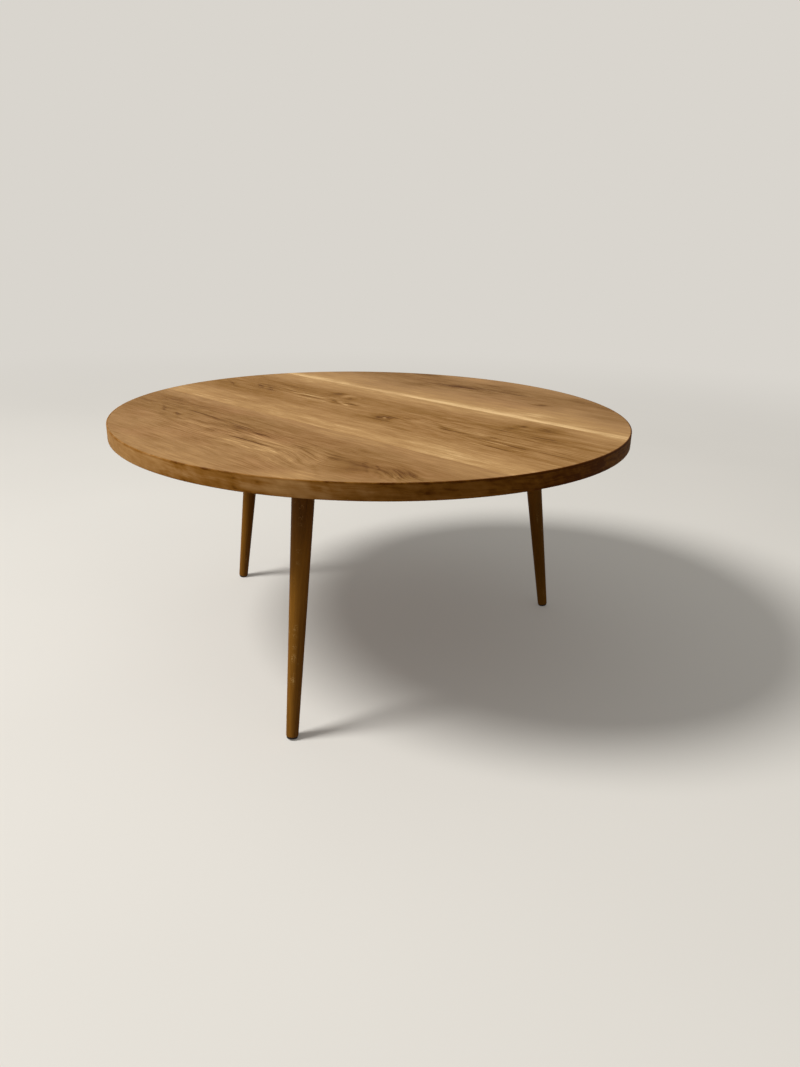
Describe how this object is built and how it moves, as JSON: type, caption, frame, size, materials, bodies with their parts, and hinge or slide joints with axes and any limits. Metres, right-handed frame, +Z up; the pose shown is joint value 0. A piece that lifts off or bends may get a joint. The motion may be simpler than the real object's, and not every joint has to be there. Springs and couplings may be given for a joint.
{
  "type": "round cocktail table",
  "caption": "Low round table with a veneered, edge-banded disc top on splayed tapered legs that screw into angled steel plates and stand on domed glides.",
  "frame": {"origin": "on the floor, under the middle of the top", "axes": "+Z up; +X along the grain of the face veneer; the picture is taken from azimuth 45 degrees"},
  "size_m": [0.9, 0.8998, 0.4357],
  "materials": {
    "core_board": "raw particle board",
    "backing_veneer": "plain matt veneer",
    "face_veneer": "satin lacquered walnut",
    "edge_band": "satin lacquered walnut",
    "leg": "satin lacquered, stained brown",
    "leg_plate": "black powder coat",
    "fastener": "zinc plated",
    "foot_glide": "dark brown"
  },
  "bodies": {
    "root": {"core_board": "core_board", "backing_veneer": "backing_veneer", "face_veneer_front": "face_veneer", "face_veneer_middle": "face_veneer", "face_veneer_rear": "face_veneer", "edge_band": "edge_band", "leg_front": "leg", "leg_plate_front": "leg_plate", "plate_nut_front": "fastener", "plate_screws_front": "fastener", "hanger_bolt_front": "fastener", "foot_glide_front": "foot_glide", "glide_nail_front": "fastener", "leg_left": "leg", "leg_plate_left": "leg_plate", "plate_nut_left": "fastener", "plate_screws_left": "fastener", "hanger_bolt_left": "fastener", "foot_glide_left": "foot_glide", "glide_nail_left": "fastener", "leg_rear": "leg", "leg_plate_rear": "leg_plate", "plate_nut_rear": "fastener", "plate_screws_rear": "fastener", "hanger_bolt_rear": "fastener", "foot_glide_rear": "foot_glide", "glide_nail_rear": "fastener"}
  },
  "joints": []
}
